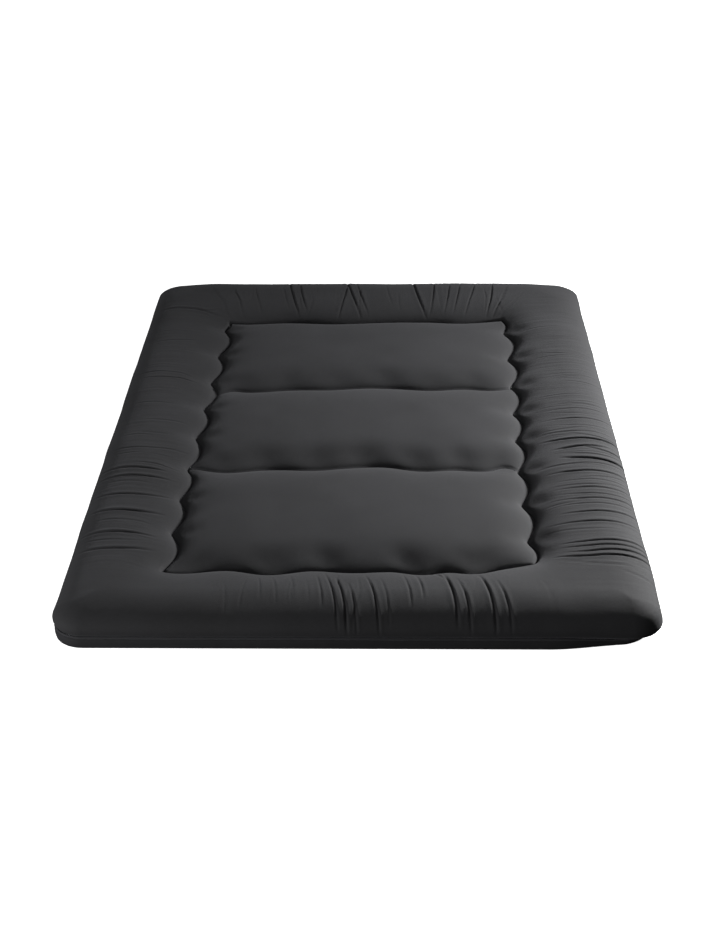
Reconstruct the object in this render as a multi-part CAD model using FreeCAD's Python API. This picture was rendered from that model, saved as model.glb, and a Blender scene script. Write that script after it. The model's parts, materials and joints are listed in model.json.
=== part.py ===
"""Quilted floor futon mattress: three sections hinged at two quilted fold lines.

Frame: millimetres, +Z up, X across the width, Y along the length with the head
at +Y. The origin is at the centre of the underside.
Build-up from the floor: base cloth, lower wadding inside a side band, foam core
under the field, fibre fill in the border roll and in three panels, and a thin
cloth over each fill. Stitching lies in the grooves between the fills.
"""
import FreeCAD, Part
import math
import os

# ---------------------------------------------------------------- driving sizes
WIDTH = 1370.0              # across X, a double (54 in) mattress
LENGTH = 2030.0             # along Y (80 in)
THICKNESS = 95.0            # floor to the crown of the border roll
PANEL_THICKNESS = 87.0      # floor to the crown of a panel
CORNER_RADIUS = 75.0        # outer corners in plan

SIDE_BORDER = 257.0         # outer edge to the field seam, left and right
FOOT_BORDER = 238.0         # the same at the foot end
HEAD_BORDER = 305.0         # the same at the head end
FOOT_FOLD_Y = -277.0        # quilted line between the foot and middle panels
HEAD_FOLD_Y = 215.0         # quilted line between the middle and head panels
FOLD_CLEARANCE = 0.3        # section end to fold plane, and crown or base to hinge axis

CLOTH = 1.0                 # thickness of every cloth
TO_COVER = 0.0              # how far a cover's outside stands from the driving sizes
TO_FILL = -CLOTH            # the same for the fill inside it
BASE_CLOTH = 1.5            # thickness of the cloth that lies on the floor
BAND_HEIGHT = 24.0          # floor to the top of the side band
BAND_INSET = 4.0            # side band behind the widest line of the roll
PIPING_RADIUS = 3.0
PIPING_INSET = 4.5          # piping's centre line behind the same line
WAIST_HEIGHT = 45.0         # widest line of the border roll
WAIST_TO_TUCK = 45.0        # how fast the roll turns under below its waist
ROLL_REACH = 115.0          # outer edge to the crown line of the roll
GROOVE_HEIGHT = 52.0        # floor to the bottom of the stitched grooves
GROOVE_HALF = 3.0           # groove centre to the fill on either side
CORE_TOP = 50.0             # top of the foam core
PANEL_SHOULDER = 70.0       # groove to where a panel is full height

THREAD_WIDTH = 1.5
LABEL_WIDTH = 40.0
LABEL_THICKNESS = 0.6
LABEL_GAP = 0.2             # label behind its band, clear of the cloth
LABEL_X = 430.0
LABEL_MARGIN = 3.0          # band edge to label edge

# --------------------------------------------------------------- derived places
HALF_WIDTH = WIDTH / 2
HALF_LENGTH = LENGTH / 2
FIELD_X = HALF_WIDTH - SIDE_BORDER
FIELD_FOOT_Y = FOOT_BORDER - HALF_LENGTH
FIELD_HEAD_Y = HALF_LENGTH - HEAD_BORDER
FILL_BOTTOM = BAND_HEIGHT
ABOVE = 2 * THICKNESS       # a height safely above everything

SECTIONS = {
    "foot": (-HALF_LENGTH, FOOT_FOLD_Y - FOLD_CLEARANCE),
    "middle": (FOOT_FOLD_Y + FOLD_CLEARANCE, HEAD_FOLD_Y - FOLD_CLEARANCE),
    "head": (HEAD_FOLD_Y + FOLD_CLEARANCE, HALF_LENGTH),
}
FIELD_RANGES = {
    "foot": (FIELD_FOOT_Y, SECTIONS["foot"][1]),
    "middle": SECTIONS["middle"],
    "head": (SECTIONS["head"][0], FIELD_HEAD_Y),
}


# ---------------------------------------------------------------- small helpers
def block(x_range, y_range, z_range):
    """Axis-aligned box between three pairs of limits."""
    corner = FreeCAD.Vector(x_range[0], y_range[0], z_range[0])
    return Part.makeBox(
        x_range[1] - x_range[0], y_range[1] - y_range[0], z_range[1] - z_range[0], corner
    )


def in_section_plane(along, distance, height):
    """Point of a cross-section whose horizontal axis is X or Y."""
    if along == "x":
        return FreeCAD.Vector(distance, 0, height)
    return FreeCAD.Vector(0, distance, height)


def quarter_ellipse(along, centre, reach, rise):
    """Quarter ellipse from the tip of its horizontal axis to the tip of its vertical axis.

    reach and rise are signed, so the quarter can lie in any quadrant.
    """
    middle = in_section_plane(along, *centre)
    level_tip = in_section_plane(along, centre[0] + reach, centre[1])
    upright_tip = in_section_plane(along, centre[0], centre[1] + rise)
    ellipse = Part.Ellipse(level_tip, upright_tip, middle)
    return Part.ArcOfEllipse(ellipse, 0, math.pi / 2).toShape()


def extruded(along, edges, low, high):
    """Closed cross-section swept straight along the other horizontal axis."""
    face = Part.Face(Part.Wire(Part.__sortEdges__(edges)))
    sweep = FreeCAD.Vector(0, 1, 0) if along == "x" else FreeCAD.Vector(1, 0, 0)
    face.translate(sweep * low)
    return face.extrude(sweep * (high - low))


def chain(along, points):
    """Straight edges from each point to the next."""
    vectors = [in_section_plane(along, *point) for point in points]
    return [Part.LineSegment(a, b).toShape() for a, b in zip(vectors, vectors[1:])]


def rounded_plate(inset, z_low, z_high):
    """Plate over the whole plan, behind the outline by inset, with round corners."""
    x = HALF_WIDTH - inset
    y = HALF_LENGTH - inset
    plate = block((-x, x), (-y, y), (z_low, z_high))
    upright = [edge for edge in plate.Edges if abs(edge.tangentAt(edge.FirstParameter).z) > 0.5]
    return plate.makeFillet(CORNER_RADIUS - inset, upright)


def single_solid(shape):
    """The one solid that a boolean result holds, without leftover inner edges."""
    return shape.removeSplitter().Solids[0]


# ------------------------------------------------------------------ border roll
def tuck_distance():
    """How far the roll has turned under where the fill ends."""
    drop = (WAIST_HEIGHT - FILL_BOTTOM) / WAIST_TO_TUCK
    return ROLL_REACH * (1 - math.sqrt(1 - drop * drop))


def crowned_slab(along, half_span, low, high, grow):
    """Slab over the whole span whose two long edges are rolled, its skin moved out by grow."""
    edges = []
    under = math.acos(1 - tuck_distance() / ROLL_REACH)
    for side in (1, -1):
        centre = side * (half_span - ROLL_REACH)
        reach = side * (ROLL_REACH + grow)
        edges.append(
            quarter_ellipse(along, (centre, WAIST_HEIGHT), reach, THICKNESS - WAIST_HEIGHT + grow)
        )
        lower = Part.Ellipse(
            in_section_plane(along, centre + reach, WAIST_HEIGHT),
            in_section_plane(along, centre, WAIST_HEIGHT - WAIST_TO_TUCK - grow),
            in_section_plane(along, centre, WAIST_HEIGHT),
        )
        sink = (WAIST_HEIGHT - FILL_BOTTOM) / (WAIST_TO_TUCK + grow)
        edges.append(Part.ArcOfEllipse(lower, 0, math.asin(sink)).toShape())
    ends = [edges[1].Vertexes[1].Point, edges[3].Vertexes[1].Point]
    edges.append(Part.LineSegment(*ends).toShape())
    crown = half_span - ROLL_REACH
    edges += chain(along, [(-crown, THICKNESS + grow), (crown, THICKNESS + grow)])
    return extruded(along, edges, low, high)


def rolled_corner(grow):
    """Quarter turn of the roll's profile about the centre of the +X +Y corner."""
    slab = crowned_slab("x", HALF_WIDTH, -1, 1, grow)
    centre_x = HALF_WIDTH - CORNER_RADIUS
    cut = slab.slice(FreeCAD.Vector(0, 1, 0), 0)[0]
    profile = Part.Face(cut).common(block((centre_x, WIDTH), (-1, 1), (0, ABOVE)))
    centre_y = HALF_LENGTH - CORNER_RADIUS
    profile.translate(FreeCAD.Vector(0, centre_y, 0))
    pivot = FreeCAD.Vector(centre_x, centre_y, 0)
    return profile.Faces[0].revolve(pivot, FreeCAD.Vector(0, 0, 1), 90)


def outer_roll(grow):
    """Full-plan cushion with all four edges and corners rolled."""
    across = crowned_slab("x", HALF_WIDTH, -LENGTH, LENGTH, grow)
    lengthwise = crowned_slab("y", HALF_LENGTH, -LENGTH, LENGTH, grow)
    cushion = across.common(lengthwise)
    corner = rolled_corner(grow)
    x = HALF_WIDTH - CORNER_RADIUS
    y = HALF_LENGTH - CORNER_RADIUS
    square = block((x, WIDTH), (y, LENGTH), (0, ABOVE))
    x_flip = FreeCAD.Vector(1, 0, 0)
    y_flip = FreeCAD.Vector(0, 1, 0)
    here = FreeCAD.Vector(0, 0, 0)
    for mirrors in ((), (x_flip,), (y_flip,), (x_flip, y_flip)):
        this_square, this_corner = square, corner
        for normal in mirrors:
            this_square = this_square.mirror(here, normal)
            this_corner = this_corner.mirror(here, normal)
        cushion = cushion.cut(this_square).fuse(this_corner)
    return cushion


def field_pit(along, low_edge, high_edge, low_reach, high_reach, grow):
    """Space over the field: a trench whose sides are the inner slopes of the roll."""
    floor_low = low_edge - GROOVE_HALF + grow
    floor_high = high_edge + GROOVE_HALF - grow
    crest_low = low_edge - GROOVE_HALF - low_reach
    crest_high = high_edge + GROOVE_HALF + high_reach
    rise = THICKNESS - GROOVE_HEIGHT + grow
    edges = [
        quarter_ellipse(along, (crest_low, GROOVE_HEIGHT), low_reach + grow, rise),
        quarter_ellipse(along, (crest_high, GROOVE_HEIGHT), -high_reach - grow, rise),
    ]
    edges += chain(
        along,
        [
            (floor_low, GROOVE_HEIGHT),
            (floor_low, 0),
            (floor_high, 0),
            (floor_high, GROOVE_HEIGHT),
        ],
    )
    edges += chain(
        along,
        [
            (crest_high, THICKNESS + grow),
            (crest_high, ABOVE),
            (crest_low, ABOVE),
            (crest_low, THICKNESS + grow),
        ],
    )
    return extruded(along, edges, -LENGTH, LENGTH)


def border_ring(grow):
    """The whole border roll, its skin moved out by grow."""
    side_reach = SIDE_BORDER - GROOVE_HALF - ROLL_REACH
    foot_reach = FOOT_BORDER - GROOVE_HALF - ROLL_REACH
    head_reach = HEAD_BORDER - GROOVE_HALF - ROLL_REACH
    pit_across = field_pit("x", -FIELD_X, FIELD_X, side_reach, side_reach, grow)
    pit_along = field_pit("y", FIELD_FOOT_Y, FIELD_HEAD_Y, foot_reach, head_reach, grow)
    return outer_roll(grow).cut(pit_across.common(pit_along))


def border_regions():
    """Plan region of each border piece: two ends, and each side in three sections."""
    wide = (-WIDTH, WIDTH)
    regions = {
        "foot_end": (wide, (-LENGTH, FIELD_FOOT_Y)),
        "head_end": (wide, (FIELD_HEAD_Y, LENGTH)),
    }
    for section, y_range in FIELD_RANGES.items():
        regions["left_" + section] = ((-WIDTH, 0), y_range)
        regions["right_" + section] = ((0, WIDTH), y_range)
    return regions


def split_border(ring, prefix):
    """One node for each border region of a ring that runs round the whole mattress."""
    nodes = {}
    for region, (x_range, y_range) in border_regions().items():
        cutter = block(x_range, y_range, (-ABOVE, ABOVE))
        nodes[prefix + "_" + region] = single_solid(ring.common(cutter))
    return nodes


def side_band():
    """Upright cloth strip round the lower edge."""
    outer = rounded_plate(BAND_INSET, BASE_CLOTH, BAND_HEIGHT)
    return outer.cut(rounded_plate(BAND_INSET + CLOTH, 0, ABOVE))


def piping_ring():
    """Round cord sewn between the side band and the roll."""
    inset = PIPING_INSET
    height = BAND_HEIGHT + PIPING_RADIUS
    bend = CORNER_RADIUS - inset
    x = HALF_WIDTH - CORNER_RADIUS
    y = HALF_LENGTH - CORNER_RADIUS
    here = FreeCAD.Vector(0, 0, 0)
    along_x = FreeCAD.Vector(1, 0, 0)
    along_y = FreeCAD.Vector(0, 1, 0)
    up = FreeCAD.Vector(0, 0, 1)
    front = Part.makeCylinder(
        PIPING_RADIUS, 2 * x, FreeCAD.Vector(-x, inset - HALF_LENGTH, height), along_x
    )
    left = Part.makeCylinder(
        PIPING_RADIUS, 2 * y, FreeCAD.Vector(inset - HALF_WIDTH, -y, height), along_y
    )
    corner = Part.makeTorus(bend, PIPING_RADIUS, here, up, 0, 360, 90)
    pieces = [front, left, front.mirror(here, along_y), left.mirror(here, along_x)]
    for turn, centre_x, centre_y in ((0, x, y), (90, -x, y), (180, -x, -y), (270, x, -y)):
        turned = corner.copy()
        turned.rotate(here, up, turn)
        turned.translate(FreeCAD.Vector(centre_x, centre_y, height))
        pieces.append(turned)
    return pieces[0].fuse(pieces[1:])


# ------------------------------------------------------------------------ panels
def panel(section, grow):
    """Pillow-shaped panel with rounded shoulders along all four grooves."""
    shape = None
    foot_edge, head_edge = FIELD_RANGES[section]
    for along, low, high in (("x", -FIELD_X, FIELD_X), ("y", foot_edge, head_edge)):
        pillow = pillow_profile(along, low + GROOVE_HALF, high - GROOVE_HALF, grow)
        shape = pillow if shape is None else shape.common(pillow)
    return shape


def pillow_profile(along, low, high, grow):
    """Flat-topped pillow section between two edges, swept right across."""
    top = PANEL_THICKNESS + grow
    rise = top - GROOVE_HEIGHT
    low_shoulder = low + PANEL_SHOULDER
    high_shoulder = high - PANEL_SHOULDER
    edges = [
        quarter_ellipse(along, (low_shoulder, GROOVE_HEIGHT), -PANEL_SHOULDER - grow, rise),
        quarter_ellipse(along, (high_shoulder, GROOVE_HEIGHT), PANEL_SHOULDER + grow, rise),
    ]
    edges += chain(
        along,
        [
            (low - grow, GROOVE_HEIGHT),
            (low - grow, CORE_TOP),
            (high + grow, CORE_TOP),
            (high + grow, GROOVE_HEIGHT),
        ],
    )
    edges += chain(along, [(low_shoulder, top), (high_shoulder, top)])
    return extruded(along, edges, -LENGTH, LENGTH)


def core_foam(section):
    """Foam slab under one panel, from the wadding to the groove bottoms."""
    foot_edge, head_edge = FIELD_RANGES[section]
    if section == "foot":
        foot_edge -= GROOVE_HALF
    if section == "head":
        head_edge += GROOVE_HALF
    x = FIELD_X + GROOVE_HALF
    return block((-x, x), (foot_edge, head_edge), (BAND_HEIGHT, CORE_TOP))


# --------------------------------------------------------------------- stitching
def thread(x_range, y_range):
    """Row of stitching seen as one flat thread on the bottom of a groove."""
    return block(x_range, y_range, (CORE_TOP, GROOVE_HEIGHT))


def centred(middle, width=THREAD_WIDTH):
    """Pair of limits of the given width about a middle line."""
    return (middle - width / 2, middle + width / 2)


def seam_stitching(section):
    """Seam round the field, the stretch that one section holds."""
    foot_edge, head_edge = FIELD_RANGES[section]
    ends = []
    if section == "foot":
        ends.append(centred(FIELD_FOOT_Y))
        foot_edge += THREAD_WIDTH / 2
    if section == "head":
        ends.append(centred(FIELD_HEAD_Y))
        head_edge -= THREAD_WIDTH / 2
    reach = FIELD_X + THREAD_WIDTH / 2
    rows = [thread(centred(x), (foot_edge, head_edge)) for x in (-FIELD_X, FIELD_X)]
    rows += [thread((-reach, reach), y_range) for y_range in ends]
    return Part.makeCompound(rows) if not ends else rows[0].fuse(rows[1:]).removeSplitter()


def quilt_stitching(y_range):
    """Row across the field at a fold line."""
    reach = FIELD_X - THREAD_WIDTH
    return thread((-reach, reach), y_range)


# ------------------------------------------------------------------ nodes by name
def section_slab(shape, section):
    """The part of a full-plan shape that lies in one section."""
    return single_solid(shape.common(block((-WIDTH, WIDTH), SECTIONS[section], (-ABOVE, ABOVE))))


def care_label():
    """Blank cloth tag lying on the side band at the head end."""
    y = HALF_LENGTH - BAND_INSET + LABEL_GAP
    return block(
        centred(LABEL_X, LABEL_WIDTH),
        (y, y + LABEL_THICKNESS),
        (LABEL_MARGIN, BAND_HEIGHT - LABEL_MARGIN),
    )


def section_nodes():
    """Layers that each of the three sections has of its own."""
    nodes = {}
    base = rounded_plate(BAND_INSET, 0, BASE_CLOTH)
    wadding = rounded_plate(BAND_INSET + CLOTH, BASE_CLOTH, BAND_HEIGHT)
    for section in SECTIONS:
        fill = panel(section, TO_FILL)
        nodes["base_cloth_" + section] = section_slab(base, section)
        nodes["lower_wadding_" + section] = section_slab(wadding, section)
        nodes["core_foam_" + section] = core_foam(section)
        nodes["panel_fill_" + section] = fill
        nodes["panel_cover_" + section] = single_solid(panel(section, TO_COVER).cut(fill))
        nodes["seam_stitching_" + section] = seam_stitching(section)
    return nodes


def build_nodes():
    """Every sub-part under its own name."""
    nodes = section_nodes()
    fill = border_ring(TO_FILL)
    nodes.update(split_border(fill, "border_fill"))
    nodes.update(split_border(border_ring(TO_COVER).cut(fill), "border_cover"))
    nodes.update(split_border(side_band(), "side_band"))
    nodes.update(split_border(piping_ring(), "piping"))
    foot_line = SECTIONS["foot"][1]
    head_line = SECTIONS["head"][0]
    nodes["quilt_stitching_foot"] = quilt_stitching((foot_line - THREAD_WIDTH, foot_line))
    nodes["quilt_stitching_head"] = quilt_stitching((head_line, head_line + THREAD_WIDTH))
    nodes["care_label"] = care_label()
    return nodes


os.makedirs("parts", exist_ok=True)
for name, shape in build_nodes().items():
    shape.exportStep("parts/" + name + ".step")
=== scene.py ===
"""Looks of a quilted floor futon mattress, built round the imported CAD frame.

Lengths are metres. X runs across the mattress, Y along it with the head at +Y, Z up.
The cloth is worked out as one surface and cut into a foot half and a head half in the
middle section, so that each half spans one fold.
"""
import json
import math

import bpy
import numpy as np
from mathutils import Euler, Matrix, Vector

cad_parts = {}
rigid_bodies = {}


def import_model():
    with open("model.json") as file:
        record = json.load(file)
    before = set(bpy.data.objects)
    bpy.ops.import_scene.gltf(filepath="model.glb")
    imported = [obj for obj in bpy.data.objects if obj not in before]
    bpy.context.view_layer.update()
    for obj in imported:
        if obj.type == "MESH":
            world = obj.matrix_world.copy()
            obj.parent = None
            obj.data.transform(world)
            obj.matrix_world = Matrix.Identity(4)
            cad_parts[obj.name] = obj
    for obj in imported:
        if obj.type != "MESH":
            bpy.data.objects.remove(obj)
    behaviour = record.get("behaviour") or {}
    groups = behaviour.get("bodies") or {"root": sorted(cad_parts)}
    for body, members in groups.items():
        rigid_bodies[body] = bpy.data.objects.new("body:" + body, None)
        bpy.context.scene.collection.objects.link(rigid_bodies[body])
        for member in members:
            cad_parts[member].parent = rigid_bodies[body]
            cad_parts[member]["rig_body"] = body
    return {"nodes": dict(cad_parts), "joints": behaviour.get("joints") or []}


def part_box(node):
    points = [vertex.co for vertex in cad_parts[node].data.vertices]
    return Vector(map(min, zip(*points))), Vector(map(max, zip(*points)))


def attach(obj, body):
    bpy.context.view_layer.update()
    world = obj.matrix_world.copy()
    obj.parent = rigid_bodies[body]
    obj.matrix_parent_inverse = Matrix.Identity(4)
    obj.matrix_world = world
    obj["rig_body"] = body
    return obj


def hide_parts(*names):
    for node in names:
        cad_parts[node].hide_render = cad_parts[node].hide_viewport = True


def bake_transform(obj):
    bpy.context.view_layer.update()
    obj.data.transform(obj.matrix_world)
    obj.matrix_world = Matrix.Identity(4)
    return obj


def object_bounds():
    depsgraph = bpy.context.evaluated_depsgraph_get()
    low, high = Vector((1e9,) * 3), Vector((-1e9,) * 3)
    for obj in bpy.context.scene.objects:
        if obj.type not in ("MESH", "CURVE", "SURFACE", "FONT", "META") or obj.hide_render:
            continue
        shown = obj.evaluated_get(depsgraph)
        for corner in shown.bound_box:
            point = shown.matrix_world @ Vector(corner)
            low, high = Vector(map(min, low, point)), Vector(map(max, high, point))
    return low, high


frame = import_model()
CAD_LOW, CAD_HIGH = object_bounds()

# ---------- places from the frame
HALF_WIDTH = CAD_HIGH[0]
HALF_LENGTH = CAD_HIGH[1]
CROWN = CAD_HIGH[2]
PANEL_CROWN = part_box("panel_cover_middle")[1].z
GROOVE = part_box("seam_stitching_middle")[1].z
SEAM_X = (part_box("border_cover_right_middle")[0].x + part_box("panel_cover_middle")[1].x) / 2
FOOT_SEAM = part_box("border_cover_foot_end")[1].y
HEAD_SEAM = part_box("border_cover_head_end")[0].y
BAND_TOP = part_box("side_band_left_middle")[1].z
BAND_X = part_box("side_band_right_middle")[1].x
BAND_INSET = HALF_WIDTH - BAND_X
BASE_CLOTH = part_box("base_cloth_middle")[1].z
PIPING_LOW, PIPING_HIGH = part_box("piping_right_middle")
PIPING_TOP = PIPING_HIGH.z
PIPING_INSET = HALF_WIDTH - (PIPING_LOW.x + PIPING_HIGH.x) / 2
FOLDS = {joint["name"]: joint for joint in frame["joints"]}
FOOT_FOLD = FOLDS["foot_fold"]["pos_m"][1]
HEAD_FOLD = FOLDS["head_fold"]["pos_m"][1]
SPLIT_Y = (FOOT_FOLD + HEAD_FOLD) / 2

# ---------- shape of the roll
CORNER_RADIUS = 0.075  # outer corners in plan
ROLL_REACH = 0.115  # outer edge to the crown line
WAIST = 0.045  # height of the widest line
TUCK_RISE = 0.045  # how fast the roll turns under below its waist
TUCK_HEIGHT = PIPING_TOP - 0.002
TUCK_REACH = 0.26  # size of the foot end's right corner that is drawn in below
TUCK_PULL = 0.024
TUCK_SINK = 0.014  # how far the roll sinks there, down over the band
TUCK_LEVEL = 0.036  # height that sinks furthest
SLACK_REACH = 0.20  # size of the head end's corners, which are filled less
SLACK_DROP = 0.014
CORE_X = HALF_WIDTH - CORNER_RADIUS
CORE_Y = HALF_LENGTH - CORNER_RADIUS
PROFILE_POINTS = (160, 40)  # of the roll's section, above its waist and below it

# spacing of the cloth's grid lines
ALONG_STEP = 0.0024  # along a border, across its creases
ACROSS_STEP = 0.0055  # across a border
PANEL_SKIP = 3  # panels use every third line
COARSE_ALONG = 4  # the fills' grid has steps this many times longer
COARSE_ACROSS = 2
SEAM_STEP = 0.004  # between the points that stand for a seam
SEAM_REACH = 8  # in softnesses: cloth further away isn't pulled
SEAM_CHUNK = 64  # seam points worked out at once, to save memory

# stitched seams: where the pulled-in points lie, and how far the lobes between them reach
LEFT_TACKS = (0.640, 0.446, 0.258, 0.084, -0.096, -0.272, -0.436, -0.604)
RIGHT_TACKS = (0.622, 0.424, 0.232, 0.058, -0.108, -0.286, -0.462, -0.640)
SIDE_LOBE = 0.027
LOBE_LENGTH = 0.18  # a lobe this long reaches SIDE_LOBE
LOBE_REACH = (0.3, 1.1)  # least and most share of it, for shorter and longer lobes
LOBE_LEAN = 1.15  # above 1 a lobe is fuller towards the head end
LOBE_POWER = 1.25
LOBE_END = 0.005  # the outermost lobes run this far past the field
LEFT_LINE = ((0.71, -0.440), (0.45, -0.445), (0.0, -0.452), (-0.40, -0.458), (-0.78, -0.456))
RIGHT_LINE = ((0.71, 0.424), (0.45, 0.424), (0.0, 0.414), (-0.40, 0.403), (-0.78, 0.405))
# transverse seams: given points (x, y) that a smooth curve runs through
HEAD_LINE = (
    (-0.45, 0.684), (-0.38, 0.690), (-0.24, 0.704), (-0.09, 0.694), (0.08, 0.708),
    (0.20, 0.708), (0.29, 0.698), (0.38, 0.708), (0.45, 0.712),
)
HEAD_QUILT = (
    (-0.46, 0.176), (-0.42, 0.184), (-0.38, 0.206), (-0.32, 0.196), (-0.22, 0.212),
    (-0.12, 0.212), (0.04, 0.226), (0.20, 0.208), (0.30, 0.219), (0.37, 0.208), (0.45, 0.232),
)
FOOT_QUILT = (
    (-0.47, -0.290), (-0.42, -0.264), (-0.355, -0.288), (-0.26, -0.272), (-0.13, -0.276),
    (0.04, -0.255), (0.18, -0.280), (0.25, -0.270), (0.32, -0.280), (0.38, -0.258),
    (0.44, -0.280),
)
FOOT_LINE = (
    (-0.46, -0.796), (-0.40, -0.794), (-0.31, -0.772), (-0.21, -0.794), (-0.11, -0.772),
    (-0.01, -0.786), (0.08, -0.776), (0.157, -0.792), (0.205, -0.774), (0.265, -0.788),
    (0.33, -0.768), (0.42, -0.756),
)
# pulled-in hollows along the near edge of each panel: its seam, strength, places across it
PANEL_HOLLOWS = (
    (HEAD_QUILT, 0.5, (-0.355, -0.231, -0.089, 0.059, 0.189, 0.319)),
    (FOOT_QUILT, 0.8, (-0.370, -0.263, -0.123, -0.005, 0.139, 0.257, 0.349)),
    (FOOT_LINE, 1.0, (-0.388, -0.207, -0.078, 0.114, 0.277)),
)
WARP_REACH = 0.115  # how far from a seam its waviness fades out

BORDER_SOFTNESS = 0.030  # distance over which the padding recovers from a seam
PANEL_SOFTNESS = 0.028
SEAM_POWER = 0.48  # lower is a fuller pillow
SAG_SOFTNESS = 0.070  # the whole pillow also slopes gently towards its seams
SAG_DEPTH = 0.30
DIMPLE_DEPTH = 0.30  # share of the height lost in the hollow at a tack
DIMPLE_SETBACK = 0.030  # its centre from the seam
DIMPLE_SHIFT = 0.004  # and from the tack, towards the foot end
DIMPLE_WIDTH = 0.034
DIMPLE_LENGTH = 0.030
WEAK_DIMPLES = 0.25  # share of it on the side of a seam that is pulled less
HOLLOW_SETBACK = 0.026  # centre of a panel hollow behind its seam
HOLLOW_WIDTH = 0.050
HOLLOW_LENGTH = 0.048
HOLLOW_DEPTH = 0.46
FILL_SOFTNESS = 0.056  # the fill draws back from a seam further than its cover
FILL_BELOW_CLOTH = 0.008  # fill's surface under the cover's
FOAM_BELOW_CLOTH = 1.5 * FILL_BELOW_CLOTH
LEAN_FROM = 0.5  # fill less full than this lies straight below its cover
LEAN_OVER = 0.3  # and this much fuller, along the cover's normal
LAYER_GAP = 0.0005
SEAM_ALLOWANCE = 0.010  # cloth turned down into the groove
OUTER_TURN = 0.975  # share of the plan that the cloth turned in under the roll reaches
LEVEL_MATCH = LAYER_GAP / 10  # points this near to a level lie on it
WRINKLE_FADE = 0.03  # wrinkles and lumps fade out over this much at the sewn edge
TINY = 1e-6  # keeps a share from being divided by nothing

# creases across the border: position along it in mm, start and end across it in percent
# from the seam to the edge sewn to the piping, then slant, depth and half-width in mm
LEFT_CREASES = (
    (735, 2, 80, 30, 4.5, 5.0), (752, 0, 35, -50, 3.0, 4.5), (262, 18, 90, 6, 1.6, 3.5),
    (236, 15, 75, -4, 2.0, 3.5), (60, 30, 80, 4, 0.9, 3.5), (-50, 10, 60, 4, 1.0, 3.5),
    (-206, 20, 80, -4, 1.6, 3.5), (-300, 10, 55, 12, 1.8, 3.5), (-326, 22, 86, 6, 3.6, 4.5),
    (-370, 16, 84, 2, 3.6, 4.5), (-398, 30, 80, 4, 1.0, 3.5), (-455, 6, 84, -8, 3.0, 4.5),
    (-545, 14, 82, 0, 3.8, 5.0), (-596, 20, 75, 4, 1.2, 4.0), (-656, 18, 84, 2, 3.6, 4.8),
    (-684, 25, 80, -3, 1.0, 3.5), (-722, 16, 80, -16, 3.0, 4.8), (-796, 12, 80, 4, 0.9, 4.0),
)
RIGHT_CREASES = (
    (380, 20, 85, 10, 0.9, 3.2), (240, 30, 95, 8, 1.1, 3.2), (110, 15, 70, 6, 1.1, 3.2),
    (20, 20, 85, 4, 1.4, 3.2), (-40, 16, 92, 6, 2.1, 3.7), (-72, 20, 90, -4, 1.2, 2.9),
    (-118, 16, 70, 8, 1.9, 3.3), (-136, 40, 98, -22, 1.9, 3.3), (-164, 14, 100, 2, 4.2, 4.1),
    (-206, 24, 78, 22, 4.0, 4.1), (-216, 50, 100, -20, 3.0, 3.7), (-242, 30, 92, -6, 1.8, 3.2),
    (-268, 30, 100, -12, 5.5, 5.1), (-304, 16, 90, 8, 1.8, 3.2), (-346, 14, 96, 4, 3.0, 3.9),
    (-392, 22, 90, 2, 1.2, 3.1), (-432, 20, 96, 4, 2.1, 3.3), (-458, 20, 92, 0, 1.8, 3.1),
    (-486, 16, 96, 4, 2.1, 3.3), (-512, 24, 90, 2, 1.6, 3.1), (-552, 20, 96, 6, 2.6, 3.7),
    (-602, 12, 92, 2, 2.5, 3.7), (-694, 16, 100, 12, 3.2, 3.9), (-716, 16, 100, 12, 2.6, 3.7),
    (-738, 20, 100, 14, 3.5, 3.9), (-764, 12, 98, 10, 3.9, 4.1), (-792, 16, 80, -20, 2.3, 3.7),
    (-836, 55, 95, -40, 2.1, 3.9),
)
FOOT_CREASES = (
    (-300, 30, 80, 12, 0.6, 3.4), (-226, 10, 60, 16, 1.3, 3.4), (-190, 16, 66, 18, 1.1, 3.3),
    (-150, 14, 60, 16, 1.0, 3.3), (-88, 14, 70, 22, 1.9, 3.4), (-60, 10, 95, 40, 3.0, 3.4),
    (-36, 20, 100, 34, 3.7, 3.6), (-10, 34, 100, 24, 2.4, 3.3), (34, 16, 100, 36, 3.2, 3.4),
    (62, 24, 90, 22, 1.4, 3.3), (112, 14, 70, 20, 2.1, 3.3), (140, 10, 60, 18, 2.4, 3.4),
    (182, 2, 26, 30, 3.7, 3.8), (208, 6, 90, 34, 4.5, 4.3), (240, 24, 100, 28, 2.7, 3.6),
    (292, 10, 100, 36, 4.0, 4.1), (330, 30, 96, 28, 2.6, 3.6), (430, 30, 80, 18, 0.7, 3.9),
)
HEAD_CREASES = (
    (-470, 2, 75, -110, 2.7, 4.4), (-410, 4, 70, -70, 1.9, 4.2), (-350, 10, 70, -40, 1.6, 4.0),
    (-262, 14, 80, -30, 1.4, 4.0), (-236, 5, 85, -46, 3.4, 4.4), (-206, 10, 80, -34, 2.5, 4.2),
    (-78, 2, 86, 30, 2.9, 4.4), (-44, 2, 90, -56, 3.7, 4.6), (-16, 6, 80, -44, 2.5, 4.2),
    (70, 20, 80, -24, 1.2, 4.0), (166, 2, 92, -44, 4.2, 4.8), (206, 6, 90, 18, 2.5, 4.2),
    (254, 8, 80, 26, 2.3, 4.0), (286, 8, 84, 34, 2.4, 4.0), (330, 6, 86, 50, 2.5, 4.0),
    (392, 4, 80, 30, 3.2, 4.2), (430, 2, 80, 68, 3.4, 4.4), (476, 2, 70, 110, 3.0, 4.4),
)
# worth of each column's unit; every crease is made a little deeper and narrower
CREASE_UNITS = (0.001, 0.01, 0.01, 0.001, 0.00108, 0.00066)
CREASE_BOW = 0.008  # how far a crease curves out of line
CREASE_FADE = 0.8  # lower keeps a crease deep nearer its ends
CREASE_REACH = 8  # in half-widths: cloth further away isn't moved
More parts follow.
